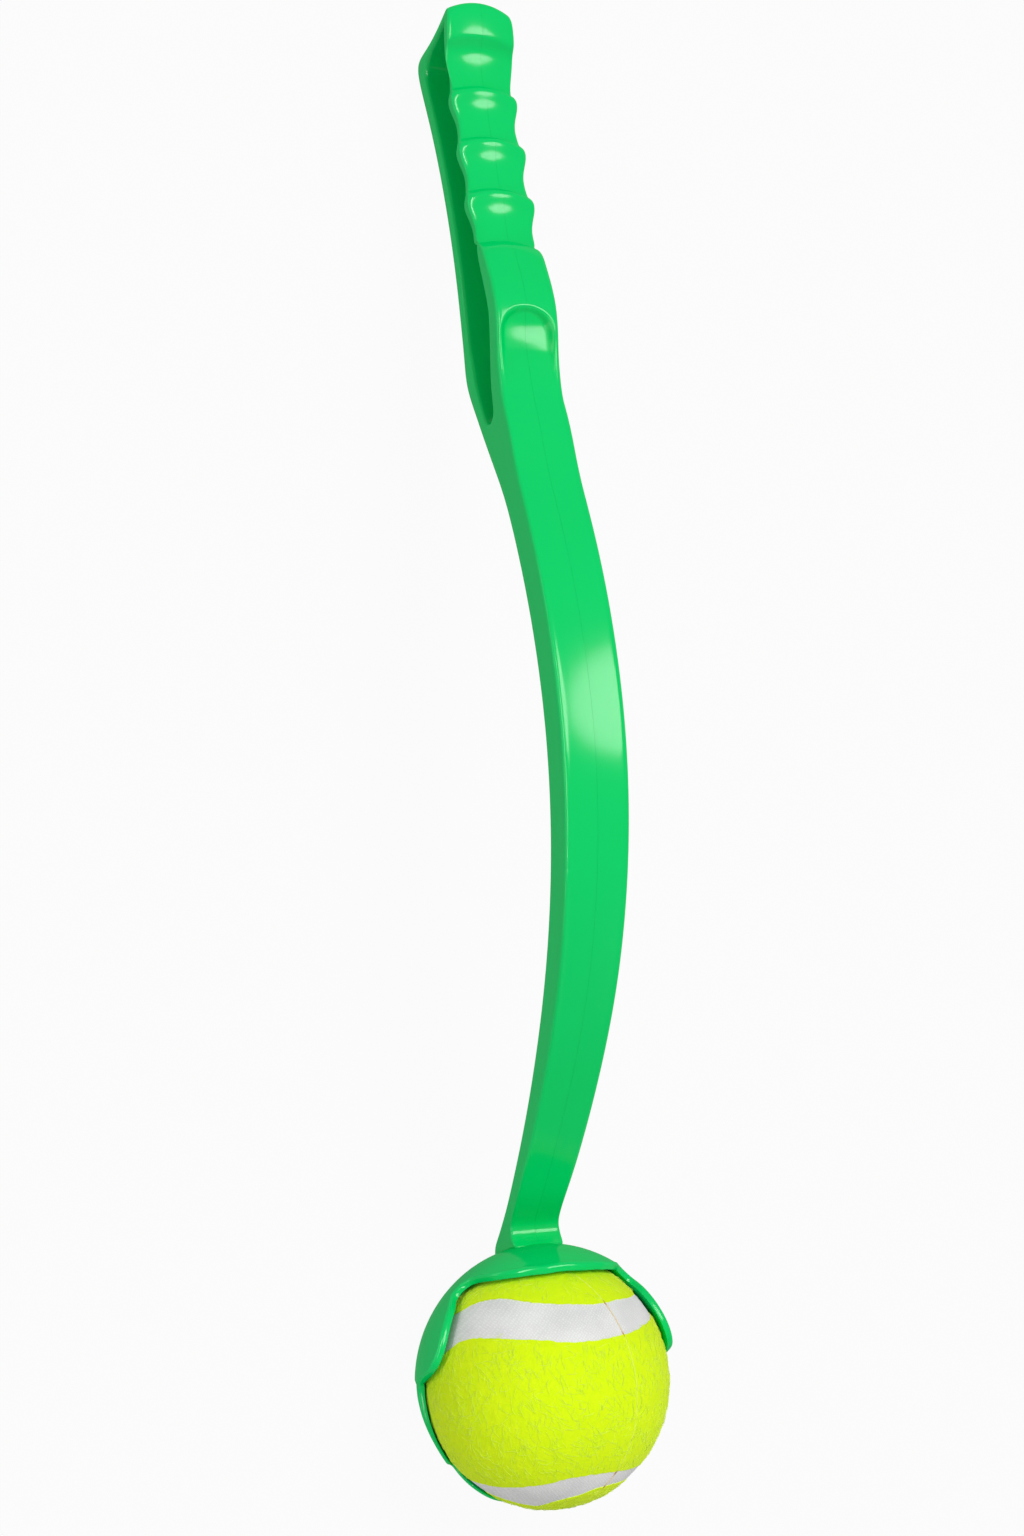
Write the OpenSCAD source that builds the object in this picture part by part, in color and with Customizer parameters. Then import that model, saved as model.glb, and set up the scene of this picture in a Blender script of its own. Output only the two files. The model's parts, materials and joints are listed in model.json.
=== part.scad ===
// Ball launcher stick for dogs: a bowed two-half stick with a finger grip, a ball cup and a felt ball.
// It lies on its back, ball side up: X across, Y from the cup to the butt of the handle, Z up.

/* [Ball] */
// Outside diameter of the felt ball
ball_d = 64.5; // [60:0.5:70]
// Thickness of the felt cover
felt_t = 2.4; // [1.5:0.1:4]
// Wall of the rubber core
core_wall = 3.6; // [2.5:0.1:6]
// Glue line between the core and the felt
glue_gap = 0.05; // [0.02:0.01:0.2]
// Width of the seam between the two felt covers
seam_w = 0.5; // [0.3:0.1:1]
// Depth of the cement below the face of the felt
cement_drop = 0.4; // [0.2:0.1:1]
// Lean of the seam from the middle of the ball, as an angle on its face
seam_lean = 10.5; // [0:0.5:18]
// Turn of the seam about the axis of the white bands
seam_turn = 55; // [0:1:90]
// Middle of the upper white band, as an angle from the middle of the ball
upper_band_turn = 35; // [30:0.1:40]
// Span of the upper white band, as an angle
upper_band_span = 18; // [12:0.1:24]
// Middle of the lower white band, as an angle from the middle of the ball
lower_band_turn = 48.5; // [44:0.1:54]
// Span of the lower white band, as an angle
lower_band_span = 14; // [10:0.1:18]

/* [Cup] */
// Clearance between the ball and the inside of the cup
cup_gap = 1.05; // [1:0.05:1.4]
// Clearance under the ball, where it rests in the cup
rest_gap = 0.1; // [0.05:0.05:0.3]
// Wall of the cup
cup_wall = 2; // [1.6:0.1:3]
// Height of the hood's rim above the middle of the cup
hood_rise = 16; // [12:0.1:16.2]
// Distance from the middle of the cup to the hood's rim
hood_reach = 30.3; // [29.5:0.1:31]
// Distance from the middle of the cup to the corner between hood and lobe
hood_corner = 24; // [22:0.5:25]
// Height of the hood's corner above the middle of the cup
hood_corner_rise = 0.4; // [0:0.1:2]
// Height of the side lobes above the middle of the cup
lobe_rise = 7.6; // [4:0.1:8]
// Length of each side lobe
lobe_len = 22.5; // [20:0.5:24]
// Depth of the notch below each lobe, under the middle of the cup
notch_drop = 3; // [2:0.1:6]
// Height of the lower claws above the middle of the cup
claw_rise = 3.2; // [1:0.1:3.4]
// Distance from the middle of the cup to the end of the lower claws
claw_end = 17.6; // [14:0.1:19]
// Drop of the tongue between the claws, under the middle of the cup
tongue_drop = 13.5; // [10:0.5:18]

/* [Stick] */
// Distance along the floor from the neck to the throat of the handle
shaft_span = 212; // [160:1:300]
// Rise from the neck to the throat
shaft_rise = 32.7; // [20:0.1:50]
// Slope of the stick where it leaves the cup
neck_slope = 43.5; // [38:0.5:48]
// Pull of the bow at the neck
neck_pull = 93; // [60:1:120]
// Slope of the stick where it meets the handle
throat_slope = 29.5; // [24:0.5:34]
// Pull of the bow at the throat
throat_pull = 103; // [60:1:120]
// Thickness of the stick at the neck
neck_t = 6.6; // [6:0.1:8]
// Thickness of the stick along the bow
shaft_t = 11.4; // [9:0.1:14]
// Width of the stick at the neck
neck_w = 14; // [12:0.1:18]
// Width of the stick at the handle
grip_w = 18.4; // [16:0.1:26]
// Spread of the foot on each side of the neck
foot_flare = 3; // [1:0.1:5]
// Position of the neck on the cup, as an angle below the cup's middle
neck_seat = 16.7; // [12:0.1:20]
// Depth of the neck's middle in the wall of the cup
neck_sink = 1.05; // [0.5:0.05:1.5]
// Clearance between the foot of the stick and the cup
seat_gap = 0.05; // [0.02:0.01:0.2]

/* [Handle] */
// Length from the throat to the butt end
handle_len = 137.5; // [125:0.5:170]
// Distance from the throat to the first finger groove
thumb_len = 61.2; // [56:0.1:70]
// Drop from the throat to the first finger groove
thumb_drop = 8.4; // [4:0.1:12]
// Pitch of the finger ridges
finger_pitch = 18.1; // [16:0.1:20]
// Number of finger ridges below the butt
finger_ridges = 3; // [2:1:3]
// Height of the finger ridges
ridge_h = 2.6; // [1.5:0.1:3.5]
// Slope of the line of finger grooves
grip_slope = 15; // [12:0.5:18]
// Height of the butt's front corner above the floor
butt_h = 36.8; // [34:0.1:42]
// Wall of the butt end
butt_wall = 4.8; // [3:0.1:8]
// Radius of the butt's front corner
butt_front_r = 6; // [2:0.5:8]
// Radius of the butt's back corner
butt_back_r = 4; // [2:0.5:8]
// Thickness of the back strip
strip_t = 4.8; // [3:0.1:7]
// Thickness of the front strip behind the finger grooves
grip_t = 5.2; // [4:0.1:7]
// Thickness of the handle at the butt's front corner
butt_block = 7.4; // [6:0.1:9]
// Depth of the handle at its heel, from the middle of the throat
heel_drop = 25.6; // [22:0.1:30]
// Rise of the thumb block's saddle above the middle of the throat
saddle_rise = 3.4; // [2.5:0.1:5]
// Width of the thumb dish
thumb_w = 16.4; // [12:0.1:17]
// Depth of the thumb dish
thumb_depth = 1.3; // [0.5:0.1:2]

/* [Joining] */
// Wall around the pockets inside the stick
pocket_wall = 2.4; // [1.8:0.1:3]
// Length of the tang that the cup sends into the neck
tang_len = 24; // [16:0.5:32]
// Width of the tang
tang_w = 6; // [4:0.1:8]
// Thickness of the tang
tang_t = 3; // [2:0.1:3.4]
// Clearance around the tang
tang_gap = 0.1; // [0.05:0.05:0.3]
// Radius of the pegs that locate the two halves
peg_r = 1.2; // [0.8:0.1:1.5]
// Radius of the peg that locks the tang
lock_r = 0.8; // [0.6:0.1:1]
// Length of the pegs past the parting face
peg_len = 4; // [3:0.1:5]
// Clearance around the pegs
peg_gap = 0.1; // [0.05:0.05:0.3]

/* [Hidden] */
$fn = 64;

green = [0.0, 0.78, 0.40];
yellow = [0.82, 0.98, 0.08];
white = [0.86, 0.86, 0.84];
rubber = [0.16, 0.16, 0.17];
cement = [0.85, 0.78, 0.55];

// Steps along a smooth run of an outline
run_steps = 24;
// Margin by which cutters pass the faces that they cut
over = 1;

ball_r = ball_d / 2;
core_r = ball_r - felt_t;
cup_in = ball_r + cup_gap;
cup_out = cup_in + cup_wall;

// Places in the stick's own side view: y from the middle of the cup, z above the floor
cup_mid = [0, cup_out];
neck = cup_mid + (cup_out + neck_t / 2 - neck_sink) * [cos(neck_seat), -sin(neck_seat)];
throat = neck + [shaft_span, shaft_rise];
butt_y = throat[0] + handle_len;
groove = throat + [thumb_len, -thumb_drop];

// Middle of the whole length, which the origin stands under
tongue_reach = sqrt(cup_out * cup_out - tongue_drop * tongue_drop);
mid_y = (butt_y - max(ball_r, tongue_reach)) / 2;
// The ball rests low in the cup
ball_mid = cup_mid - [0, cup_gap - rest_gap];

function mix(a, b, t) = a + (b - a) * t;
function unit(v) = v / norm(v);
function along(slope) = [cos(slope), sin(slope)];
function left_of(v) = [-v[1], v[0]];
function reverse(path) = [for (i = [len(path) - 1:-1:0]) path[i]];

// Point on a cubic curve with the control points p
function cubic(p, t) =
    pow(1 - t, 3) * p[0] + 3 * t * pow(1 - t, 2) * p[1]
    + 3 * t * t * (1 - t) * p[2] + pow(t, 3) * p[3];
function cubic_way(p, t) =
    unit(pow(1 - t, 2) * (p[1] - p[0]) + 2 * t * (1 - t) * (p[2] - p[1]) + t * t * (p[3] - p[2]));

// Smooth run through the points p, without its last point
function smooth(p, steps) = [
    for (i = [0:len(p) - 2])
        let (a = p[max(i - 1, 0)], b = p[i], c = p[i + 1], d = p[min(i + 2, len(p) - 1)])
            for (k = [0:steps - 1])
                cubic([b, b + (c - a) / 6, c - (d - b) / 6, c], k / steps)
];

// Quarter-round corner at p between the directions from a and to b
function corner(a, p, b, r, steps) =
    let (u = p + r * unit(a - p), v = p + r * unit(b - p))
        [for (k = [0:steps]) let (t = k / steps) mix(mix(u, p, t), mix(p, v, t), t)];

// Centre line of the stick and its thickness and width
shaft = [
    neck,
    neck + neck_pull * along(neck_slope),
    throat - throat_pull * along(-throat_slope),
    throat
];
// Share of the stick over which it thickens from the neck to the bow
thick_share = 0.65;
// Share of the stick at which the handle's outline takes over
handle_share = 0.95;
function thickness(t) = mix(neck_t, shaft_t, sin(90 * min(1, t / thick_share)));
function half_width(t) = mix(neck_w, grip_w, 1 - pow(1 - t, 2)) / 2;
function shaft_point(t, side) =
    cubic(shaft, t) + side * left_of(cubic_way(shaft, t)) * thickness(t) / 2;
function shaft_run(from, to, side, inset) = [
    for (k = [0:run_steps])
        let (t = mix(from, to, k / run_steps))
            shaft_point(t, side) - side * inset * left_of(cubic_way(shaft, t))
];

// Front of the thumb block, from the throat to the first groove
thumb_run = smooth([
    shaft_point(handle_share, 1),
    throat + [14, saddle_rise + 1],
    throat + [22, saddle_rise - 0.1],
    throat + [30, saddle_rise + 0.3],
    throat + [37, saddle_rise + 0.2],
    throat + [46, saddle_rise - 2.6],
    groove + [-6.4, 5.6],
    groove
], 6);

// Finger ridges: each rises steeply on the butt's side and falls in a hollow run towards the cup
crest_share = 0.13;
crest_fall = 2.2;
function ridge_height(u) =
    ridge_h * pow(u / (1 - crest_share), crest_fall) * sin(90 * min(1, (1 - u) / crest_share));
grip_way = along(-grip_slope);
function ridge(i) = [
    for (k = [0:23])
        let (u = k / 24)
            groove + (i + u) * finger_pitch * grip_way
            + ridge_height(u) * left_of(grip_way)
];
last_groove = groove + finger_ridges * finger_pitch * grip_way;
butt_front = [butt_y, butt_h];
butt_back = [butt_y, 0];
// Groove under the butt's front corner, up to the brow where that corner starts
brow = butt_front - [butt_front_r, 0];
butt_dip = smooth([
    last_groove,
    mix(last_groove, brow, 0.26) + [0, -1.1],
    mix(last_groove, brow, 0.53) + [0, -1.9],
    mix(last_groove, brow, 0.69) + [0, -1.3],
    mix(last_groove, brow, 0.82) + [0, 0.1],
    brow
], 4);
butt_run = concat(
    [for (i = [0:finger_ridges - 1]) each ridge(i)],
    butt_dip,
    corner(last_groove + [0, butt_front[1] - last_groove[1]], butt_front, butt_back, butt_front_r, 8)
);

// Back strip: one smooth curve from its heel to the butt's back corner
heel = throat + [24, -heel_drop];
strip = [heel, heel + [33, -0.2], [butt_y - 40.5, 20], [butt_y - butt_back_r, 0]];
function strip_run(inset) = [
    for (k = [0:run_steps])
        let (t = k / run_steps) cubic(strip, t) + inset * left_of(cubic_way(strip, t))
];
heel_turn = corner(shaft_point(handle_share, -1), heel, strip[1], 5, 6);

// Foot of the neck, which ends inside the cup and is trimmed to it
foot_heel = shaft_point(0, -1) - 10 * along(neck_slope);
foot_run = [foot_heel, mix(foot_heel, cup_mid, 0.4), mix(shaft_point(0, 1), cup_mid, 0.3)];

outline = concat(
    foot_run,
    shaft_run(0, handle_share, 1, 0),
    thumb_run,
    butt_run,
    corner(butt_front, butt_back, strip[3], butt_back_r, 8),
    reverse([for (k = [8:run_steps - 1]) strip_run(0)[k]]),
    reverse(heel_turn),
    reverse(shaft_run(0, handle_share, -1, 0))
);

// Hand gap between the front strip and the back strip
gap_tip = throat + [9, -6.6];
// Size of the cut corner at the gap's butt end
gap_corner = 2;
gap_front = smooth([
    gap_tip,
    throat + [24, -5.8],
    throat + [40, -5.4],
    groove + [-4, -grip_t + 3.2],
    groove - grip_t * left_of(grip_way) + 20 * grip_way,
    groove - grip_t * left_of(grip_way) + 43 * grip_way,
    [butt_y - 20, butt_h - butt_block],
    [butt_y - butt_wall - gap_corner, butt_h - butt_block]
], 6);
gap_back = strip_run(strip_t);
gap = concat(
    gap_front,
    [[butt_y - butt_wall, butt_h - butt_block - gap_corner], [butt_y - butt_wall, strip_t + 5]],
    reverse([for (k = [2:run_steps - 2]) gap_back[k]])
);

// Half width along the length, with the foot's flare over the cup
function flare(t) = foot_flare * pow(max(0, 1 - t / 0.06), 2);
plan = concat(
    [[0, 0], [0, half_width(0) + foot_flare]],
    [[neck[0] - 2, half_width(0) + foot_flare]],
    [for (k = [0:40]) let (t = k / 40) [cubic(shaft, t)[0], half_width(t) + flare(t)]],
    [[butt_y + over, grip_w / 2], [butt_y + over, 0]]
);

// Pockets inside the bow, between the webs that carry the pegs
web_shares = [0.22, 0.42, 0.66, 0.9];
web_half = 0.035;

// Places of the pegs in the side view: in the webs, at the heel and in the butt's front corner
peg_places = concat(
    [for (t = web_shares) cubic(shaft, t)],
    [heel + [1.5, strip_t * 0.55], [butt_y - butt_wall - gap_corner, butt_h - butt_block / 2]]
);
lock_place = neck + tang_len * 0.6 * along(neck_slope);

// Turns a drawing of the side view into a solid from x = from to x = to
module slab(from, to) {
    translate([from, 0, 0])
        rotate([90, 0, 90])
            linear_extrude(height = to - from)
                children();
}

module in_place() {
    translate([0, -mid_y, 0])
        children();
}

module at_ball() {
    translate([0, ball_mid[0] - mid_y, ball_mid[1]])
        children();
}

// Bar along the neck, from the cup outwards, centred on the stick
module neck_bar(w, t, from, to) {
    translate([0, neck[0], neck[1]])
        rotate([neck_slope, 0, 0])
            translate([-w / 2, from, -t / 2])
                cube([w, to - from, t]);
}

// Thumb dish: a round-ended trough in the saddle of the thumb block
dish_r = (thumb_w * thumb_w / 4 + thumb_depth * thumb_depth) / (2 * thumb_depth);
dish_lift = saddle_rise + dish_r - thumb_depth;
dish_from = throat + [19, dish_lift];
dish_to = throat + [40 - thumb_w / 2, dish_lift];
module thumb_dish() {
    for (p = [dish_from, dish_to])
        translate([0, p[0], p[1]])
            sphere(r = dish_r, $fn = 128);
    translate([0, dish_to[0], dish_to[1]])
        rotate([90, 0, 0])
            cylinder(r = dish_r, h = dish_to[0] - dish_from[0], $fn = 128);
}

// One half of the stick on the side +X, without its pegs or sockets
module half_stick() {
    difference() {
        intersection() {
            slab(0, grip_w)
                difference() {
                    polygon(outline);
                    polygon(gap);
                }
            linear_extrude(height = 2 * cup_out + shaft_rise + shaft_span)
                polygon([for (p = plan) [p[1], p[0]]]);
        }
        translate([0, cup_mid[0], cup_mid[1]])
            sphere(r = cup_out + seat_gap, $fn = 128);
        for (i = [0:len(web_shares) - 2])
            slab(-over, half_width(web_shares[i]) - pocket_wall)
                polygon(concat(
                    shaft_run(web_shares[i] + web_half, web_shares[i + 1] - web_half, 1, pocket_wall),
                    reverse(shaft_run(web_shares[i] + web_half, web_shares[i + 1] - web_half, -1, pocket_wall))
                ));
        neck_bar(tang_w + 2 * tang_gap, tang_t + 2 * tang_gap, -2 * neck_t, tang_len + tang_gap);
        thumb_dish();
    }
}

module peg(place, r, from, to) {
    translate([from, place[0], place[1]])
        rotate([0, 90, 0])
            cylinder(r = r, h = to - from);
}

// Left half: carries the pegs
module stick_left() {
    color(green)
        in_place() {
            mirror([1, 0, 0])
                half_stick();
            for (p = peg_places)
                peg(p, peg_r, -peg_len, peg_len);
            peg(lock_place, lock_r, -tang_w / 2 - peg_gap - 1, tang_w / 2);
        }
}

// Right half: has the sockets
module stick_right() {
    color(green)
        in_place()
            difference() {
                half_stick();
                for (p = peg_places)
                    peg(p, peg_r + peg_gap, -over, peg_len + peg_gap);
            }
}

// Side view of what is kept of the cup's shell, measured from the middle of the cup
lobe_end = hood_corner - lobe_len * 1.06;
hood_run = hood_rise - hood_corner_rise;
mouth = concat(
    [
        [2 * cup_out, -2 * cup_out],
        [2 * cup_out, hood_rise + hood_run],
        [hood_reach + hood_run * 0.23, hood_rise + hood_run]
    ],
    smooth([
        [hood_reach, hood_rise],
        [hood_reach - 1.7, hood_rise - 7.3],
        [hood_corner + 3, hood_corner_rise + 1.3],
        [hood_corner, hood_corner_rise],
        [hood_corner - lobe_len * 0.14, lobe_rise * 0.5],
        [hood_corner - lobe_len * 0.39, lobe_rise - 0.6],
        [hood_corner - lobe_len * 0.6, lobe_rise],
        [hood_corner - lobe_len * 0.78, lobe_rise - 2.5],
        [hood_corner - lobe_len * 0.96, -notch_drop + 1],
        [lobe_end, -notch_drop],
        [mix(lobe_end, -claw_end, 0.25), -notch_drop * 0.5],
        [mix(lobe_end, -claw_end, 0.57), claw_rise - 2.8],
        [mix(lobe_end, -claw_end, 0.85), claw_rise - 0.6],
        [-claw_end, claw_rise]
    ], 6),
    [
        [-claw_end - 0.6, claw_rise - 1],
        [-claw_end - 1.8, -tongue_drop * 0.6],
        [-claw_end - 6, -tongue_drop],
        [-2 * cup_out, -tongue_drop],
        [-2 * cup_out, -2 * cup_out]
    ]
);
// Radius of the cup at which the sizes of the mouth are given
mouth_r = 35.3;

// Ball cup: a thin shell with a hood, two side lobes and two lower claws, and the tang for the stick
module cup() {
    color(green)
        in_place()
            difference() {
                union() {
                    translate([0, cup_mid[0], cup_mid[1]])
                        intersection() {
                            sphere(r = cup_out, $fn = 128);
                            slab(-cup_out - over, cup_out + over)
                                scale(cup_out / mouth_r)
                                    polygon(mouth);
                        }
                    neck_bar(tang_w, tang_t, -2 * neck_t, tang_len);
                }
                translate([0, cup_mid[0], cup_mid[1]])
                    sphere(r = cup_in, $fn = 128);
                peg(lock_place, lock_r + peg_gap, -tang_w, tang_w);
            }
}

// Distance of the seam from the middle of the ball
seam_offset = ball_r * sin(seam_lean);

// Half space on one side of the seam: side 1 is the front cover, side -1 the back cover
module seam_side(side, gap) {
    rotate([0, -seam_turn, 0])
        translate([-ball_d, -ball_d, side > 0 ? seam_offset + gap : seam_offset - gap - 2 * ball_d])
            cube([2 * ball_d, 2 * ball_d, 2 * ball_d]);
}

// Piece of the felt cover between two planes across the band axis
module felt_piece(from, to, side) {
    at_ball()
        intersection() {
            difference() {
                sphere(r = ball_r, $fn = 128);
                sphere(r = core_r + glue_gap, $fn = 128);
            }
            translate([-ball_d, from, -ball_d])
                cube([2 * ball_d, to - from, 2 * ball_d]);
            seam_side(side, seam_w / 2);
        }
}

// Edges of the felt pieces along the band axis, from the bottom of the ball to its top
bottom_edge = -ball_r * sin(lower_band_turn + lower_band_span / 2);
belt_low = -ball_r * sin(lower_band_turn - lower_band_span / 2);
belt_high = ball_r * sin(upper_band_turn - upper_band_span / 2);
top_edge = ball_r * sin(upper_band_turn + upper_band_span / 2);

module felt_top_front() { color(yellow) felt_piece(top_edge, ball_d, 1); }
module felt_top_back() { color(yellow) felt_piece(top_edge, ball_d, -1); }
module band_upper_front() { color(white) felt_piece(belt_high, top_edge, 1); }
module band_upper_back() { color(white) felt_piece(belt_high, top_edge, -1); }
module felt_belt_front() { color(yellow) felt_piece(belt_low, belt_high, 1); }
module felt_belt_back() { color(yellow) felt_piece(belt_low, belt_high, -1); }
module band_lower_front() { color(white) felt_piece(bottom_edge, belt_low, 1); }
module band_lower_back() { color(white) felt_piece(bottom_edge, belt_low, -1); }
module felt_bottom_front() { color(yellow) felt_piece(-ball_d, bottom_edge, 1); }
module felt_bottom_back() { color(yellow) felt_piece(-ball_d, bottom_edge, -1); }

// Cement in the seam: a thin ring between the two covers
module seam_cement() {
    color(cement)
        at_ball()
            rotate([0, -seam_turn, 0])
                intersection() {
                    difference() {
                        sphere(r = ball_r - cement_drop, $fn = 128);
                        sphere(r = core_r + glue_gap, $fn = 128);
                    }
                    translate([-ball_d, -ball_d, seam_offset - seam_w / 2])
                        cube([2 * ball_d, 2 * ball_d, seam_w]);
                }
}

// Half of the hollow rubber core, above or below the ball's middle
module core_half(side) {
    color(rubber)
        at_ball()
            intersection() {
                difference() {
                    sphere(r = core_r, $fn = 128);
                    sphere(r = core_r - core_wall, $fn = 128);
                }
                translate([-ball_d, -ball_d, side > 0 ? 0 : -2 * ball_d])
                    cube([2 * ball_d, 2 * ball_d, 2 * ball_d]);
            }
}

module core_lower() { core_half(-1); }
module core_upper() { core_half(1); }

cup();
stick_left();
stick_right();
core_lower();
core_upper();
seam_cement();
felt_top_front();
felt_top_back();
band_upper_front();
band_upper_back();
felt_belt_front();
felt_belt_back();
band_lower_front();
band_lower_back();
felt_bottom_front();
felt_bottom_back();
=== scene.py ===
import json
import math
import random

import bmesh
import bpy
from mathutils import Matrix, Vector, noise


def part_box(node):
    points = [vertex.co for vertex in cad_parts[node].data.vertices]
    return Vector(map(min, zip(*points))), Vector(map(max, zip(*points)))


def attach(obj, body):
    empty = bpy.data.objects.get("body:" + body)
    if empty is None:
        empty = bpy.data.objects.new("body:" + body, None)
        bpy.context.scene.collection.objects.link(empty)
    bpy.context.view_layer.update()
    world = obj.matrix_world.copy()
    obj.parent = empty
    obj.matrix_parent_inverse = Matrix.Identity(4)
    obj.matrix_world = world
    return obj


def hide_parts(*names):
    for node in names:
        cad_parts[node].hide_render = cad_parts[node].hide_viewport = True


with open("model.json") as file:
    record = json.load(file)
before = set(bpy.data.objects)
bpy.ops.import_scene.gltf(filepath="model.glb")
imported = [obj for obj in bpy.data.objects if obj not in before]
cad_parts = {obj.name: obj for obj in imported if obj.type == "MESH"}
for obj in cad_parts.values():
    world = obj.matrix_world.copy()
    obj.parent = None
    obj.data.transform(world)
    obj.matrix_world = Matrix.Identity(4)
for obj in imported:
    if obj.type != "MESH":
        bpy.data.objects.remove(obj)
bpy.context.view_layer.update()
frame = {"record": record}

# The stick: a bowed bar that opens into a loop handle with a thumb dish and finger beads.
# It is moulded in bright green plastic as a left and a right half, pinned on their middle plane.
mm = 0.001
mounts = {mount["name"]: Vector(mount["pos_m"]) for mount in frame["record"]["mounts"]}
cup_mid = mounts["ball_seat"]
cup_r = cup_mid.z / mm
butt_y = (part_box("stick_left")[1][1] - cup_mid.y) / mm

neck_seat = math.radians(16.7)
neck_slope = math.radians(43.5)
throat_slope = math.radians(29.5)
grip_slope = math.radians(15)
neck_t = 6.6
neck_sink = 1.05
shaft_t = 11.4
neck_w = 14.0
shaft_span = 212
shaft_rise = 32.7
neck_pull = 93
throat_pull = 103
thick_from = 0.65
grip_w = 18.4
grip_half = grip_w / 2
finger_pitch = 18.1
strip_t = 4.8
edge_r = 2.4
shaft_hollow = 0.35


def spot(y, z):
    return Vector((y, z))


def way(slope):
    return spot(math.cos(slope), math.sin(slope))


def left_of(v):
    return spot(-v.y, v.x)


def blend(a, b, share):
    return a + (b - a) * share


def ease(value, low, high):
    share = min(1.0, max(0.0, (value - low) / (high - low)))
    return share * share * (3 - 2 * share)


def cubic(p, t):
    return (1 - t) ** 3 * p[0] + 3 * t * (1 - t) ** 2 * p[1] + 3 * t * t * (1 - t) * p[2] + t ** 3 * p[3]


def cubic_way(p, t):
    turn = (1 - t) ** 2 * (p[1] - p[0]) + 2 * t * (1 - t) * (p[2] - p[1]) + t * t * (p[3] - p[2])
    return turn.normalized()


# Height at one place of the smooth curve that passes through points in rising order
def through(points, at):
    for i, ((a, high_a), (b, high_b)) in enumerate(zip(points, points[1:])):
        if a <= at <= b:
            before = points[max(i - 1, 0)]
            after = points[min(i + 2, len(points) - 1)]
            rise_a = (high_b - before[1]) / (b - before[0]) * (b - a)
            rise_b = (after[1] - high_a) / (after[0] - a) * (b - a)
            s = (at - a) / (b - a)
            low_part = (2 * s ** 3 - 3 * s * s + 1) * high_a + (s ** 3 - 2 * s * s + s) * rise_a
            return low_part + (3 * s * s - 2 * s ** 3) * high_b + (s ** 3 - s * s) * rise_b
    return points[0][1] if at < points[0][0] else points[-1][1]


hub = spot(0, cup_r)
neck = hub + (cup_r + neck_t / 2 - neck_sink) * way(-neck_seat)
throat = neck + spot(shaft_span, shaft_rise)
shaft = [neck, neck + neck_pull * way(neck_slope), throat - throat_pull * way(-throat_slope), throat]
groove = throat + spot(61.2, -8.4)
heel = throat + spot(24, -25.6)
strip = [heel, heel + spot(33, -0.2), spot(butt_y - 40.5, 20), spot(butt_y - 4, 0)]

# Each station holds the points of its rows from the front to the back, a half width, the drop of the
# front at its sides, and how far the sides lie behind the middle along the strip
stations = []
edge_share = 0.62


def bar_station(front, middle, back, half, crown, edge=edge_r):
    near = min(edge_share, edge / (front - middle).length)
    far = min(edge_share, edge / (back - middle).length)
    rows = {2: front, 1: blend(front, middle, near), 0: middle, -1: blend(back, middle, far), -2: back}
    stations.append((rows, half, crown, 0.0, edge))


def loop_station(outer, inner, half=grip_half, crown=0.4, bow=0.0):
    stations.append(({2: outer, 1: (outer + inner) / 2, 0: inner}, half, crown, bow, edge_r))


# The foot runs into the cup with a hollow fillet on the front
neck_way = way(neck_slope)
neck_up = left_of(neck_way)
neck_thin = 2.0
front_foot = neck + neck_up * (neck_t / 2 - neck_thin)
back_foot = neck - neck_up * neck_t / 2
fillet_r = 4.0
reach = front_foot + fillet_r * neck_up - hub
reach_along = reach.dot(neck_way)
climb = math.sqrt(reach_along ** 2 + (cup_r + fillet_r) ** 2 - reach.length_squared) - reach_along
fillet = hub + reach + climb * neck_way
crease_turn = math.atan2(fillet.y - hub.y, fillet.x)
fillet_in = crease_turn - math.pi
fillet_out = neck_slope - math.pi / 2
for share, swell, up_back, half in ((0.33, 1.1, -7.0, 7.3), (0.67, 1.1, -3.0, 7.0), (1.0, 1.05, 2.5, 6.95)):
    front = fillet + swell * fillet_r * way(blend(fillet_in, fillet_out, share))
    back = back_foot + up_back * neck_way
    bar_station(front, (front + back) / 2, back, half, -0.1, 1.2)
front = front_foot + 17 * neck_way
back = back_foot + 10 * neck_way
bar_station(front, (front + back) / 2, back, 7.0, -0.2, 1.5)
for t in (0.1, 0.15, 0.21, 0.29, 0.37, 0.45, 0.53, 0.61, 0.69, 0.77, 0.84, 0.9, 0.95):
    middle = cubic(shaft, t)
    thickness = blend(neck_t, shaft_t, math.sin(math.pi / 2 * min(1, t / thick_from)))
    up = left_of(cubic_way(shaft, t)) * thickness / 2
    half = blend(neck_w, grip_w, 1 - (1 - t) ** 2) / 2
    lower = left_of(cubic_way(shaft, t)) * neck_thin * (1 - ease(t, 0.05, 0.4))
    bar_station(middle + up - lower, middle, middle - up, half, -shaft_hollow)
for front_at, middle_at, back_at, hollow in (
    ((0.4, 9.2), (-1.2, 0.6), (-5.2, -5.4), shaft_hollow), ((9.6, 5.7), (7.8, -6.6), (4.8, -12.3), 0.0),
):
    front = throat + spot(*front_at)
    bar_station(front, throat + spot(*middle_at), throat + spot(*back_at), grip_half, -hollow)
fork = len(stations)

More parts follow.
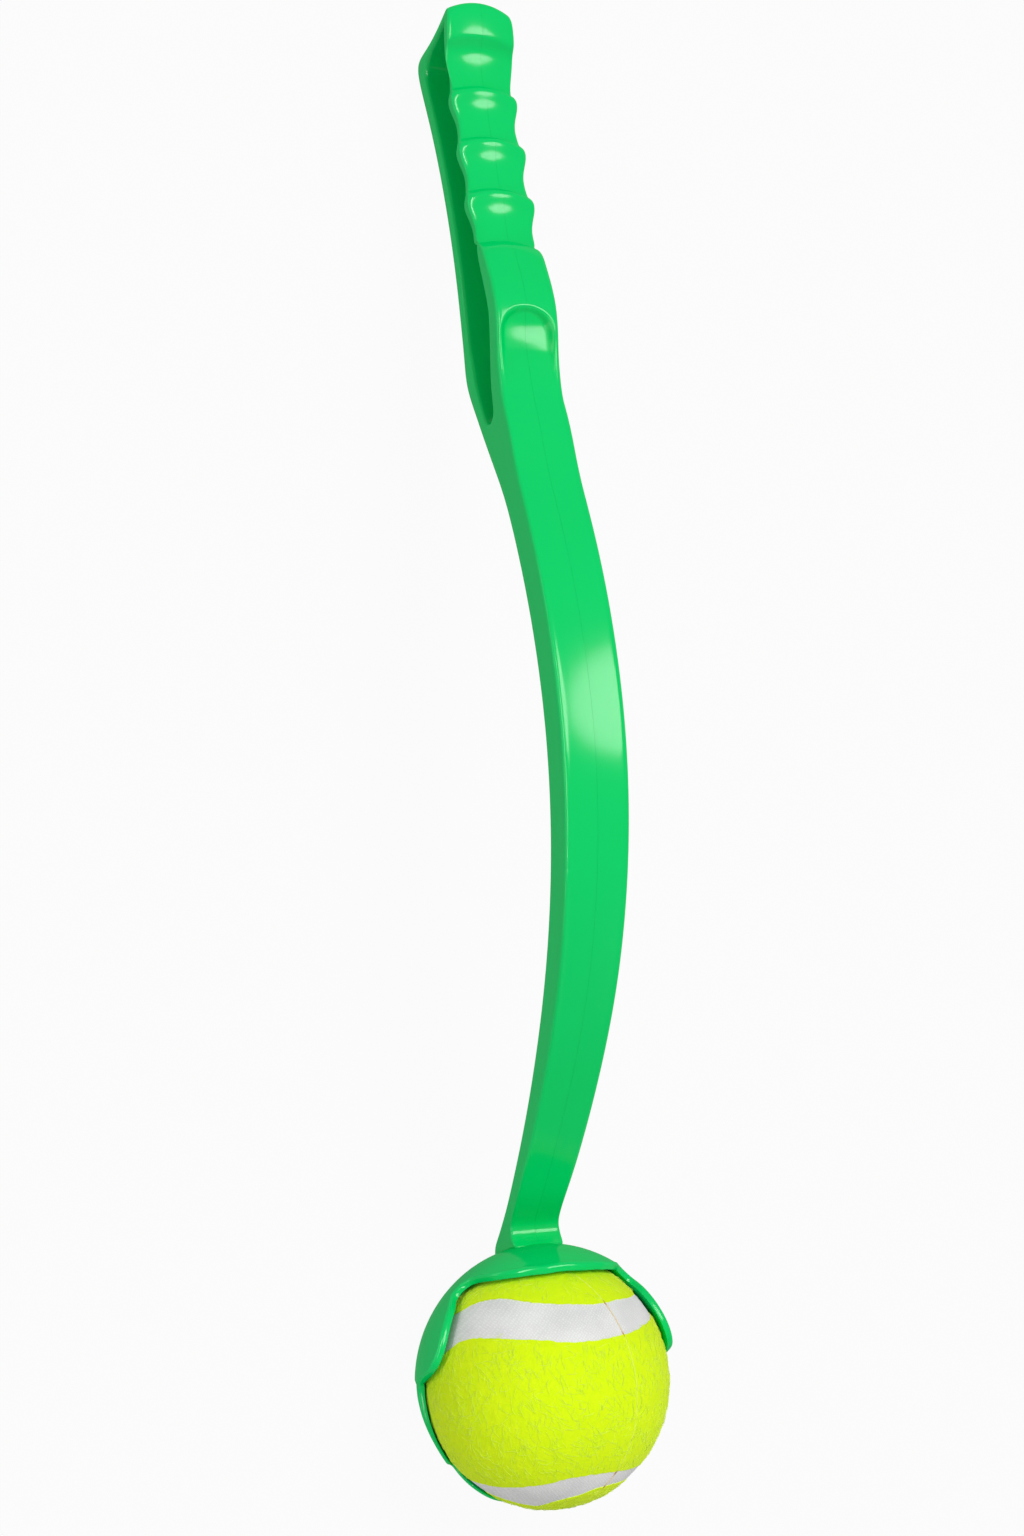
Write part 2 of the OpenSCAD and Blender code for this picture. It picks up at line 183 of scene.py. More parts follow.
# The loop goes from the fork along the front strip, round the butt and back along the back strip
front_line = [(9.6, 5.7), (17, 3.9), (25, 3.3), (33, 3.8), (40, 3.0), (47, 0.6), (53, -2.2)]
under_line = [(9.6, -4.0), (17, -5.0), (25, -4.6), (33, -4.0), (40, -4.1), (47, -6.3), (53, -8.7)]
loop_station(throat + spot(12.5, 4.9), throat + spot(9.0, -3.6))
for y in (17, 22, 25, 27.2, 29.4, 31.6, 33.8, 36, 38.2, 40.4, 42.6, 47):
    loop_station(throat + spot(y, through(front_line, y)), throat + spot(y - 1.2, through(under_line, y)))
bead_crown = 1.7
bead_bow = 0.5
bead_t = 4.9
bead_rounding = 0.45
for front_at, under_at, half, share in (
    ((-8.2, 6.2), (-9.0, -0.4), 9.2, 0.4), ((-4.0, 4.6), (-4.6, -2.0), 9.2, 0.7),
    ((-1.6, 2.7), (-2.0, -3.3), 8.8, 0.9), ((-0.5, 0.9), (-0.8, -4.0), 8.4, 1.0),
    ((0.1, 0.1), (-0.2, -4.3), 8.3, 1.0),
):
    loop_station(
        groove + spot(*front_at), groove + spot(*under_at), half, bead_crown * share, bead_bow * share)
# Distance below the kink above, height over the line of kinks and half width along one bead
bead = [
    (16.6, 0.0, 8.85), (13.6, 0.03, 8.55), (11.0, 0.12, 8.75), (9.0, 0.38, 9.2), (7.4, 0.75, 9.65),
    (6.2, 1.2, 9.95), (5.0, 1.82, 10.15), (3.6, 2.5, 10.1), (2.4, 2.4, 9.85), (1.3, 1.45, 9.5),
    (0.5, 0.5, 9.25), (0.0, 0.0, 9.1),
]
grip_way = way(-grip_slope)
grip_up = left_of(grip_way)
for i in range(3):
    for below, height, half in bead:
        foot = groove + ((i + 1) * finger_pitch - below) * grip_way
        crown = bead_crown + bead_rounding * height
        loop_station(foot + height * grip_up, foot - bead_t * grip_up, half, crown, bead_bow)
last_kink = groove + 3 * finger_pitch * grip_way
gap_top = 30.8
brow_crown = 1.5
brow_bow = 1.0
for front_at, behind, under, half in (
    ((2.0, -0.3), 21.0, 0.4, 9.1), ((5.5, -0.75), 17.6, -0.1, 9.75), ((9.2, -0.9), 14.2, 0.0, 10.2),
    ((11.6, -0.4), 12.2, 0.0, 10.25), ((13.0, 0.5), 10.8, 0.0, 10.3), ((14.2, 1.5), 9.6, 0.0, 10.35),
    ((15.3, 2.0), 7.6, 0.2, 10.35), ((19.0, 1.9), 5.0, 0.2, 10.3), ((23.4, 1.5), 2.8, -0.2, 10.0),
):
    inner = spot(butt_y - behind, gap_top + under)
    loop_station(last_kink + spot(*front_at), inner, half, brow_crown, brow_bow)
for outer_at, inner_at, crown in (
    ((-3.0, 35.2), (1.7, gap_top - 1.2), 3.2), ((-1.6, 28.0), (2.6, gap_top - 4.2), 2.8),
    ((0.0, 18.0), (4.2, 17.5), 2.4), ((0.0, 8.0), (4.9, 12.0), 2.2), ((0.2, 0.3), (7.4, 8.6), 1.4),
    ((7.6, 2.0), (11.4, 9.3), 0.6),
):
    outer = spot(butt_y - outer_at[0], outer_at[1])
    inner = spot(butt_y - inner_at[0], inner_at[1])
    loop_station(outer, inner, crown=crown)
for t in (0.83, 0.7, 0.56, 0.42, 0.28, 0.15):
    outer = cubic(strip, t)
    loop_station(outer, outer + strip_t * left_of(cubic_way(strip, t)))
for outer_at, inner_at in (
    ((8.5, 0.1), (10.0, 4.9)), ((1.2, 0.3), (5.0, 6.6)), ((-4.2, 2.9), (-1.6, 8.2)),
    ((-10.4, 7.2), (-9.4, 12.4)), ((-15.0, 10.4), (-15.6, 15.8)),
):
    loop_station(heel + spot(*outer_at), heel + spot(*inner_at))
loop_end = len(stations) + 1

# Columns are the stations, rows go from the front to the back, and layers from the middle plane outwards
bpy.ops.object.select_all(action="DESELECT")
bpy.ops.mesh.primitive_grid_add(x_subdivisions=loop_end, y_subdivisions=2, size=2)
stick = bpy.context.active_object
for vertex in stick.data.vertices:
    column = round((vertex.co.x + 1) / 2 * loop_end)
    vertex.co = (0, column, round(vertex.co.y + 1))


def pick(piece, kind, wanted):
    bpy.ops.object.mode_set(mode="EDIT")
    bpy.ops.mesh.select_mode(type=kind)
    bpy.ops.mesh.select_all(action="DESELECT")
    mesh = bmesh.from_edit_mesh(piece.data)
    if kind == "VERT":
        for vertex in mesh.verts:
            vertex.select_set(wanted(vertex.co))
    else:
        for part in mesh.edges if kind == "EDGE" else mesh.faces:
            part.select_set(all(wanted(vertex.co) for vertex in part.verts))
    bmesh.update_edit_mesh(piece.data)


pick(stick, "EDGE", lambda co: co.z < 0.5 and co.y < fork + 0.5)
for step in range(2):
    bpy.ops.mesh.extrude_region_move(TRANSFORM_OT_translate={"value": (0, 0, -1)})
bpy.ops.mesh.select_mode(type="FACE")
bpy.ops.mesh.select_all(action="SELECT")
for step in range(3):
    bpy.ops.mesh.extrude_region_move(TRANSFORM_OT_translate={"value": (1, 0, 0)})
for hidden in (
    lambda co: co.x < 0.5,
    lambda co: co.y > loop_end - 0.5,
    lambda co: abs(co.y - fork) < 0.5 and co.z < 0.5,
):
    pick(stick, "FACE", hidden)
    bpy.ops.mesh.delete(type="FACE")
bpy.ops.object.mode_set(mode="OBJECT")

# The foot's ring lies on the cup, turned down from the cup's middle by an angle for each row
ring_turn = {2: -crease_turn}
for row, degrees in ((1, 6), (0, 16), (-1, 27), (-2, 34)):
    ring_turn[row] = math.radians(degrees)
ring_half = 7.2
ring_sink = 0.4
ring_spread = (0, 0.45, 0.8, 1)
ring_corner = 0.96
inner_layer = 0.42


def lay(co):
    layer, column, row = (round(part) for part in co)
    if column == 0:
        x = ring_half * ring_spread[layer] * (ring_corner if row in (2, -2) else 1)
        out = math.sqrt((cup_r - ring_sink) ** 2 - x * x)
        at = hub + out * way(-ring_turn[row])
        return Vector((x, at.x, at.y))
    if column == loop_end:
        rows, half, crown, bow, edge = stations[fork - 1]
        rows = {2: rows[-2], 1: rows[-1], 0: rows[0]}
        crown = 0.0
    else:
        rows, half, crown, bow, edge = stations[column - 1]
    across = (0, inner_layer, 1 - edge / half, 1)[layer]
    at = rows[row]
    if row == 2:
        outward = (rows[2] - rows[0]).normalized()
        at = at - across ** 2 * (crown * outward - bow * left_of(outward))
    return Vector((half * across, at.x, at.y))


for vertex in stick.data.vertices:
    at = lay(vertex.co)
    vertex.co = Vector((at.x * mm, cup_mid.y + at.y * mm, at.z * mm))


def make_active(piece):
    bpy.ops.object.select_all(action="DESELECT")
    piece.select_set(True)
    bpy.context.view_layer.objects.active = piece


def add_and_apply(piece, kind, **settings):
    make_active(piece)
    modifier = piece.modifiers.new(kind.lower(), kind)
    for name, value in settings.items():
        setattr(modifier, name, value)
    bpy.ops.object.modifier_apply(modifier=modifier.name)


def weld(piece, distance):
    make_active(piece)
    bpy.ops.object.mode_set(mode="EDIT")
    bpy.ops.mesh.select_all(action="SELECT")
    bpy.ops.mesh.remove_doubles(threshold=distance)
    bpy.ops.mesh.normals_make_consistent(inside=False)
    bpy.ops.object.mode_set(mode="OBJECT")


weld(stick, 1e-6)
add_and_apply(stick, "MIRROR", merge_threshold=1e-6, use_clip=True)
weld(stick, 1e-6)
add_and_apply(stick, "SUBSURF", levels=3, render_levels=3)

# The thumb dish is scooped into the front below an arch, and runs out towards the throat
arch = 30.7
dish_half = 8.1
dish_wall = 2.0
dish_depths = [
    (8, 0), (13, 0.2), (17.6, 0.55), (23, 1.3), (27, 2.2), (31, 2.85), (34.2, 2.6), (36.8, 1.6), (39, 0.3),
]
dish_hollow = 0.3
front_side = [
    vertex for vertex in stick.data.vertices
    if vertex.normal.z > 0.5 and vertex.co.z / mm > throat.y - 1
]
for vertex in front_side:
    y = (vertex.co.y - cup_mid.y) / mm - throat.x
    x = vertex.co.x / mm
    if not dish_depths[0][0] < y < arch + dish_half:
        continue
    inside = dish_half - (math.hypot(x, y - arch) if y > arch else abs(x))
    hollow = 1 - dish_hollow * (x / dish_half) ** 2
    vertex.co.z -= through(dish_depths, y) * hollow * ease(inside, 0.0, dish_wall) * mm


def new_material(name):
    material = bpy.data.materials.new(name)
    material.use_nodes = True
    material.node_tree.nodes.clear()
    output = material.node_tree.nodes.new("ShaderNodeOutputMaterial")
    shader = material.node_tree.nodes.new("ShaderNodeBsdfPrincipled")
    material.node_tree.links.new(shader.outputs["BSDF"], output.inputs["Surface"])
    return material, shader


def link(material, source, target):
    material.node_tree.links.new(source, target)


# Mould finish: slow waves of the face and a fine grain, on the piece's own coordinates
finish_group = bpy.data.node_groups.new("mould_finish", "ShaderNodeTree")
for name, kind, in_out in (
    ("Colour", "NodeSocketColor", "INPUT"), ("Deep Colour", "NodeSocketColor", "INPUT"),
    ("Gloss", "NodeSocketFloat", "INPUT"),
    ("Colour", "NodeSocketColor", "OUTPUT"), ("Roughness", "NodeSocketFloat", "OUTPUT"),
    ("Height", "NodeSocketFloat", "OUTPUT"),
):
    finish_group.interface.new_socket(name=name, in_out=in_out, socket_type=kind)
group_in = finish_group.nodes.new("NodeGroupInput")
group_out = finish_group.nodes.new("NodeGroupOutput")
place = finish_group.nodes.new("ShaderNodeTexCoord")
wave = finish_group.nodes.new("ShaderNodeTexNoise")
wave.inputs["Scale"].default_value = 34
wave.inputs["Detail"].default_value = 2
grain = finish_group.nodes.new("ShaderNodeTexNoise")
grain.inputs["Scale"].default_value = 900
grain.inputs["Detail"].default_value = 3
tint = finish_group.nodes.new("ShaderNodeMix")
tint.data_type = "RGBA"
rough = finish_group.nodes.new("ShaderNodeMath")
rough.operation = "MULTIPLY_ADD"
rough.inputs[1].default_value = 0.06
height = finish_group.nodes.new("ShaderNodeMath")
height.operation = "MULTIPLY_ADD"
height.inputs[1].default_value = 0.02
for source, target in (
    (place.outputs["Object"], wave.inputs["Vector"]),
    (place.outputs["Object"], grain.inputs["Vector"]),
    (wave.outputs["Fac"], tint.inputs["Factor"]),
    (group_in.outputs["Colour"], tint.inputs["A"]),
    (group_in.outputs["Deep Colour"], tint.inputs["B"]),
    (grain.outputs["Fac"], rough.inputs[0]),
    (group_in.outputs["Gloss"], rough.inputs[2]),
    (grain.outputs["Fac"], height.inputs[0]),
    (wave.outputs["Fac"], height.inputs[2]),
    (tint.outputs["Result"], group_out.inputs["Colour"]),
    (rough.outputs["Value"], group_out.inputs["Roughness"]),
    (height.outputs["Value"], group_out.inputs["Height"]),
):
    finish_group.links.new(source, target)


def moulded(name, colour, deep_colour, gloss):
    material, shader = new_material(name)
    finish = material.node_tree.nodes.new("ShaderNodeGroup")
    finish.node_tree = finish_group
    finish.inputs["Colour"].default_value = (*colour, 1)
    finish.inputs["Deep Colour"].default_value = (*deep_colour, 1)
    finish.inputs["Gloss"].default_value = gloss
    bump = material.node_tree.nodes.new("ShaderNodeBump")
    bump.inputs["Strength"].default_value = 0.08
    bump.inputs["Distance"].default_value = 0.0004
    link(material, finish.outputs["Colour"], shader.inputs["Base Color"])
    link(material, finish.outputs["Roughness"], shader.inputs["Roughness"])
    link(material, finish.outputs["Height"], bump.inputs["Height"])
    link(material, bump.outputs["Normal"], shader.inputs["Normal"])
    return material, shader


launcher_green, shader = moulded("launcher_green", (0.0004, 0.65, 0.145), (0.0003, 0.61, 0.125), 0.3)
shader.inputs["Specular IOR Level"].default_value = 0.0
shader.inputs["Coat Weight"].default_value = 0.1
shader.inputs["Coat IOR"].default_value = 2.6
shader.inputs["Coat Roughness"].default_value = 0.15


def dress(piece, body, node, slot, *materials):
    piece.data.materials.clear()
    for material in materials:
        piece.data.materials.append(material)
    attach(piece, body)
    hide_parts(node)


# Each half is the stick cut on the middle plane, with a hair's breadth between the two parting faces
parting_gap = 0.000015
for name, side in (("stick_left_half", -1), ("stick_right_half", 1)):
    half = stick.copy()
    half.data = stick.data.copy()
    half.name = name
    half.data.name = name
    bpy.context.collection.objects.link(half)
    make_active(half)
    bpy.ops.object.mode_set(mode="EDIT")
    bpy.ops.mesh.select_all(action="SELECT")
    bpy.ops.mesh.bisect(
        plane_co=(side * parting_gap, 0, 0), plane_no=(side, 0, 0), clear_inner=True, threshold=1e-7)
    pick(half, "EDGE", lambda co: abs(co.x - side * parting_gap) < 1e-6)
    bpy.ops.mesh.fill(use_beauty=False)
    bpy.ops.mesh.select_all(action="SELECT")
    bpy.ops.mesh.normals_make_consistent(inside=False)
    bpy.ops.object.mode_set(mode="OBJECT")
    bpy.ops.object.shade_smooth_by_angle(angle=math.radians(38))
    dress(half, "launcher", name.replace("_half", ""), "launcher_plastic", launcher_green)
bpy.data.objects.remove(stick)

# The cup: a thin round shell that holds the ball, with a hood at the stick, two side lobes,
# two claws below them and a low tongue. It is one green moulding, fixed in the neck of the stick.
cup_wall = 2.0
# Height of the rim in degrees from the cup's middle, by the way round from the side to the stick
rim_points = [
    (-90, -14), (-75, -13), (-62, -9), (-52, -10.5), (-45, -14.5), (-41, -17), (-38, -14), (-35.5, -9),
    (-32.5, -7), (-26, -7), (-17, -7), (-7.3, -7.5), (0, -8), (3.6, -5), (10.8, 8.5), (18.3, 12.8),
    (27, 11.8), (38, 6.6), (44, 0.8), (52, 3), (59.5, 14.8), (64, 19.5), (69, 23.2), (80, 27.6), (90, 28.2),
]
lip_flare = 0.35
flare_depth = 2.6
claw_set = 0.55
lip_round = 1.6
skin = 0.1
row_crowding = 1.6
bpy.ops.object.select_all(action="DESELECT")
bpy.ops.mesh.primitive_uv_sphere_add(segments=400, ring_count=96, radius=1)
cup = bpy.context.active_object
cup.name = "cup_shell"
cup.data.name = "cup_shell"
pick(cup, "VERT", lambda co: co.z > 0.001)
bpy.ops.mesh.delete(type="VERT")
bpy.ops.object.mode_set(mode="OBJECT")


# Turn of the rim at one way round the cup
def rim_turn(around):
    from_side = math.degrees(math.atan2(math.sin(around), abs(math.cos(around))))
    return math.radians(through(rim_points, from_side))


for vertex in cup.data.vertices:
    around = math.atan2(vertex.co.y, vertex.co.x)
    rim = rim_turn(around)
    share = -math.asin(max(-1, min(0, vertex.co.z))) / (math.pi / 2)
    turn = blend(rim, -math.pi / 2, share ** row_crowding)
    below_rim = (rim - turn) * cup_r
    y = cup_r * math.cos(turn) * math.sin(around)
    lip = lip_flare * (1 - ease(below_rim, 0, flare_depth))
    step = claw_set * (1 - ease(y, 0.6, 2.4)) * (1 - ease(below_rim, 4, 14))
    out = Vector((math.cos(turn) * math.cos(around), math.cos(turn) * math.sin(around), math.sin(turn)))
    vertex.co = cup_mid + out * (cup_r - skin + lip - step) * mm
weld(cup, 1e-6)
add_and_apply(cup, "SOLIDIFY", thickness=cup_wall * mm, offset=-1, use_even_offset=True, use_rim=True)
# On the outside the lip is rounded, and the wall gets thinner towards the tongue
tongue_taper = 1.1
taper_reach = 18
least_wall = 0.3
for vertex in cup.data.vertices:
    out = vertex.co - cup_mid
    if out.length < (cup_r - cup_wall / 2 - claw_set / 2) * mm:
        continue
    way_out = out.normalized()
    below_rim = max(0.0, (rim_turn(math.atan2(out.y, out.x)) - math.asin(way_out.z)) * cup_r)
    corner = max(0.0, lip_round - below_rim)
    inwards = lip_round - math.sqrt(lip_round ** 2 - corner ** 2)
    taper = tongue_taper * ease(-out.y / mm, 0, taper_reach)
    vertex.co -= way_out * min(cup_wall - least_wall, taper + inwards * (1 - taper / cup_wall)) * mm
bpy.ops.object.shade_smooth_by_angle(angle=math.radians(40))
dress(cup, "launcher", "cup", "launcher_plastic", launcher_green)

# The ball's hollow core: two half shells of grey rubber, moulded and cemented together.
# It is hidden by the covers, so the solids stay as they are and only get the rubber's finish.
core_rubber, shader = moulded("core_rubber", (0.03, 0.03, 0.032), (0.022, 0.022, 0.024), 0.62)
for name in ("core_lower", "core_upper"):
    for slot in bpy.data.objects[name].material_slots:
        slot.material = core_rubber

# The covers: yellow felt and two flat white bands, cut in ten pieces and cemented on the core.
# The felt is a brushed cloth with loose fibres, and the bands are a thin plain weave.
core_low, core_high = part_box("core_lower")
ball_mid = Vector((0, (core_low[1] + core_high[1]) / 2, core_high[2]))
ball_r = (ball_mid.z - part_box("felt_belt_back")[0][2]) / mm
felt_t = 2.3
band_set = 0.22
seam_turn = math.radians(55)
seam_way = Vector((-math.sin(seam_turn), 0, math.cos(seam_turn)))
seam_offset = ball_r * math.sin(math.radians(10.5))
seam_half = 0.12
fibre_tries = 5500

felt_yellow, shader = new_material("felt_yellow")
place = felt_yellow.node_tree.nodes.new("ShaderNodeTexCoord")
mottle = felt_yellow.node_tree.nodes.new("ShaderNodeTexNoise")
mottle.inputs["Scale"].default_value = 420
mottle.inputs["Detail"].default_value = 6
mottle.inputs["Distortion"].default_value = 1.2
shade = felt_yellow.node_tree.nodes.new("ShaderNodeMix")
shade.data_type = "RGBA"
shade.inputs["A"].default_value = (0.64, 0.93, 0.001, 1)
shade.inputs["B"].default_value = (0.80, 1.0, 0.008, 1)
fuzz = felt_yellow.node_tree.nodes.new("ShaderNodeTexNoise")
fuzz.inputs["Scale"].default_value = 1500
fuzz.inputs["Detail"].default_value = 4
bump = felt_yellow.node_tree.nodes.new("ShaderNodeBump")
bump.inputs["Strength"].default_value = 0.5
bump.inputs["Distance"].default_value = 0.0003
shader.inputs["Roughness"].default_value = 0.95
shader.inputs["Specular IOR Level"].default_value = 0.1
shader.inputs["Sheen Weight"].default_value = 0.2
shader.inputs["Sheen Tint"].default_value = (0.9, 1, 0.3, 1)
link(felt_yellow, place.outputs["Object"], mottle.inputs["Vector"])
link(felt_yellow, place.outputs["Object"], fuzz.inputs["Vector"])
link(felt_yellow, mottle.outputs["Fac"], shade.inputs["Factor"])
link(felt_yellow, shade.outputs["Result"], shader.inputs["Base Color"])
link(felt_yellow, fuzz.outputs["Fac"], bump.inputs["Height"])
link(felt_yellow, bump.outputs["Normal"], shader.inputs["Normal"])

felt_fibre, shader = new_material("felt_fibre")
place = felt_fibre.node_tree.nodes.new("ShaderNodeTexCoord")
bleach = felt_fibre.node_tree.nodes.new("ShaderNodeTexNoise")
bleach.inputs["Scale"].default_value = 300
shade = felt_fibre.node_tree.nodes.new("ShaderNodeMix")
shade.data_type = "RGBA"
shade.inputs["A"].default_value = (0.74, 0.95, 0.01, 1)
shade.inputs["B"].default_value = (0.90, 1.0, 0.20, 1)
shader.inputs["Roughness"].default_value = 0.8
shader.inputs["Specular IOR Level"].default_value = 0.2
link(felt_fibre, place.outputs["Object"], bleach.inputs["Vector"])
link(felt_fibre, bleach.outputs["Fac"], shade.inputs["Factor"])
link(felt_fibre, shade.outputs["Result"], shader.inputs["Base Color"])

band_white, shader = new_material("band_white")
place = band_white.node_tree.nodes.new("ShaderNodeTexCoord")
threads = []
for lean in (45, -45):
    turned = band_white.node_tree.nodes.new("ShaderNodeMapping")
    turned.inputs["Rotation"].default_value = (0, 0, math.radians(lean))
    thread = band_white.node_tree.nodes.new("ShaderNodeTexWave")
    thread.inputs["Scale"].default_value = 500
    thread.inputs["Distortion"].default_value = 5
    thread.inputs["Detail"].default_value = 3
    thread.inputs["Detail Scale"].default_value = 2
    link(band_white, place.outputs["Object"], turned.inputs["Vector"])
    link(band_white, turned.outputs["Vector"], thread.inputs["Vector"])
    threads.append(thread)
weave = band_white.node_tree.nodes.new("ShaderNodeMath")
weave.operation = "MULTIPLY"
smudge = band_white.node_tree.nodes.new("ShaderNodeTexNoise")
smudge.inputs["Scale"].default_value = 130
smudge.inputs["Detail"].default_value = 4
cloth = band_white.node_tree.nodes.new("ShaderNodeMath")
cloth.operation = "MULTIPLY_ADD"
cloth.inputs[1].default_value = 0.45
shade = band_white.node_tree.nodes.new("ShaderNodeMix")
shade.data_type = "RGBA"
shade.inputs["A"].default_value = (0.62, 0.62, 0.62, 1)
shade.inputs["B"].default_value = (0.90, 0.90, 0.89, 1)
bump = band_white.node_tree.nodes.new("ShaderNodeBump")
bump.inputs["Strength"].default_value = 0.3
bump.inputs["Distance"].default_value = 0.0001
shader.inputs["Roughness"].default_value = 0.9
shader.inputs["Specular IOR Level"].default_value = 0.15
for source, target in (
    (threads[0].outputs["Fac"], weave.inputs[0]),
    (threads[1].outputs["Fac"], weave.inputs[1]),
    (place.outputs["Object"], smudge.inputs["Vector"]),
    (weave.outputs["Value"], cloth.inputs[0]),
    (smudge.outputs["Fac"], cloth.inputs[2]),
    (cloth.outputs["Value"], shade.inputs["Factor"]),
    (shade.outputs["Result"], shader.inputs["Base Color"]),
    (weave.outputs["Value"], bump.inputs["Height"]),
    (bump.outputs["Normal"], shader.inputs["Normal"]),
):
    link(band_white, source, target)

# Edges of the bands: the turn towards the stick by the way round the ball, both in degrees
upper_low = [
    (-140, 14), (-105, 13), (-80, 18), (-67, 25.5), (-49, 27.5), (-23, 26.5), (-3, 24.5), (21, 25),
    (52, 27.5), (90, 29), (140, 26), (180, 20),
]
upper_high = [
    (-140, 33), (-105, 32), (-83, 37.8), (-71, 44), (-50, 47.8), (-31, 46), (-11, 44), (16, 41.8), (33, 42),
    (59, 41.2), (90, 43), (140, 42), (180, 38),
]
lower_high = [
    (-140, -44), (-75, -44.8), (-55, -45), (-37, -43.8), (-20, -41.3), (-10, -38.7), (11, -38.3), (30, -40),
    (80, -43), (140, -44), (180, -44.5),
]
lower_low = [
    (-140, -58), (-79, -57), (-41, -65), (-16, -57.6), (1, -53.3), (12, -50), (32, -49.5), (80, -54),
    (140, -58), (180, -59),
]
bottom_pole = [(-180, -90), (180, -90)]
top_pole = [(-180, 90), (180, 90)]


# Turn of a cover's edge, with the uneven cut of the cloth
def cut_edge(points, around):
    if abs(points[0][1]) == 90:
        return math.radians(points[0][1])
    first = points[0]
    last = points[-1]
    ring = [(last[0] - 360, last[1]), *points, (first[0] + 360, first[1])]
    degrees = through(ring, math.degrees(around))
    for waves, amount in ((14, 0.45), (42, 0.3), (120, 0.25)):
        spoke = Vector((math.cos(around) * waves, math.sin(around) * waves, first[1] * 7.3))
        degrees += amount * noise.noise(spoke)
    return math.radians(degrees)


def from_mid(around, turn):
    return Vector((math.cos(turn) * math.sin(around), math.sin(turn), math.cos(turn) * math.cos(around)))


def nap(out):
    return 0.10 * noise.noise(out * 22) + 0.06 * noise.noise(out * 70) - 0.05


# Loose fibres lie on the felt along its brushed direction, and a few stand off it
def fibres(name, low, high, side, count, chance):
    strands = bpy.data.curves.new(name, "CURVE")
    strands.dimensions = "3D"
    strands.bevel_depth = 0.04 * mm
    strands.bevel_resolution = 0
    strands.use_fill_caps = True
    steps = 4
    for strand in range(count):
        around = chance.uniform(-math.pi, math.pi)
        turn = math.asin(chance.uniform(-1, 1))
        length = chance.uniform(1.2, 4.0)
        lift = chance.uniform(0.04, 0.30)
        lean = chance.gauss(0, 0.7)
        curl = chance.uniform(-0.9, 0.9)
        out = from_mid(around, turn)
        beside = side * (out.dot(seam_way) * ball_r - seam_offset)
        if beside < 0.2 or not cut_edge(low, around) + length / ball_r < turn < cut_edge(high, around):
            continue
        if out.z < -0.1:
            lift = min(lift, 0.08)
        down = (Vector((0, -1, 0)) + out * out.y).normalized()
        lean += 1.6 * noise.noise(out * 2.5)
        at = out * ball_r
        spline = strands.splines.new("POLY")
        spline.points.add(steps)
        for k in range(steps + 1):
            share = k / steps
            rise = nap(out) + lift * math.sin(math.pi * (0.1 + 0.75 * share))
            spline.points[k].co = (*(ball_mid + at.normalized() * (ball_r + rise) * mm), 1)
            angle = lean + curl * (share - 0.5)
            ahead = down * math.cos(angle) + out.cross(down) * math.sin(angle)
            at = at + ahead * length / steps
    holder = bpy.data.objects.new(name, strands)
    bpy.context.collection.objects.link(holder)
    make_active(holder)
    bpy.ops.object.convert(target="MESH")
    return bpy.context.active_object


def cover(name, node, low, high, side, fuzzy):
    columns = 360
    rows = 48 if fuzzy else 14
    bpy.ops.object.select_all(action="DESELECT")
    bpy.ops.mesh.primitive_grid_add(x_subdivisions=columns, y_subdivisions=rows, size=2)
    piece = bpy.context.active_object
    piece.name = name
    piece.data.name = name
    turns = {}
    for vertex in piece.data.vertices:
        column = round((vertex.co.x + 1) / 2 * columns) % columns
        around = 2 * math.pi * column / columns - math.pi
        if column not in turns:
            turns[column] = (cut_edge(low, around), cut_edge(high, around))
        out = from_mid(around, blend(*turns[column], (vertex.co.y + 1) / 2))
        rise = nap(out) if fuzzy else 0.03 * noise.noise(out * 30) - band_set
        vertex.co = ball_mid + out * (ball_r + rise) * mm
    weld(piece, 1e-6)
    face = piece.data.polygons[0]
    inward = face.normal.dot(face.center - ball_mid) < 0
    bpy.ops.object.mode_set(mode="EDIT")
    bpy.ops.mesh.select_all(action="SELECT")
    if inward:
        bpy.ops.mesh.flip_normals()
    bpy.ops.mesh.bisect(
        plane_co=ball_mid + seam_way * (seam_offset + side * seam_half) * mm,
        plane_no=seam_way * side, clear_inner=True, threshold=1e-7)
    bpy.ops.object.mode_set(mode="OBJECT")
    add_and_apply(piece, "SOLIDIFY", thickness=felt_t * mm, offset=-1, use_rim=True)
    bpy.ops.object.shade_smooth_by_angle(angle=math.radians(50))
    if not fuzzy:
        dress(piece, "ball", node, "felt_white", band_white)
        return
    dress(piece, "ball", node, "felt_yellow", felt_yellow, felt_fibre)
    chance = random.Random(name)
    loose = fibres(name + "_fibres", low, high, side, fibre_tries, chance)
    for slot_material in (felt_yellow, felt_fibre):
        loose.data.materials.append(slot_material)
    for face in loose.data.polygons:
        face.material_index = 1
    make_active(piece)
    loose.select_set(True)
    bpy.ops.object.join()


for side, half in ((1, "front"), (-1, "back")):
    cover(f"bottom_felt_{half}", f"felt_bottom_{half}", bottom_pole, lower_low, side, True)
    cover(f"lower_band_{half}", f"band_lower_{half}", lower_low, lower_high, side, False)
    cover(f"belt_felt_{half}", f"felt_belt_{half}", lower_high, upper_low, side, True)
    cover(f"upper_band_{half}", f"band_upper_{half}", upper_low, upper_high, side, False)
    cover(f"top_felt_{half}", f"felt_top_{half}", upper_high, top_pole, side, True)

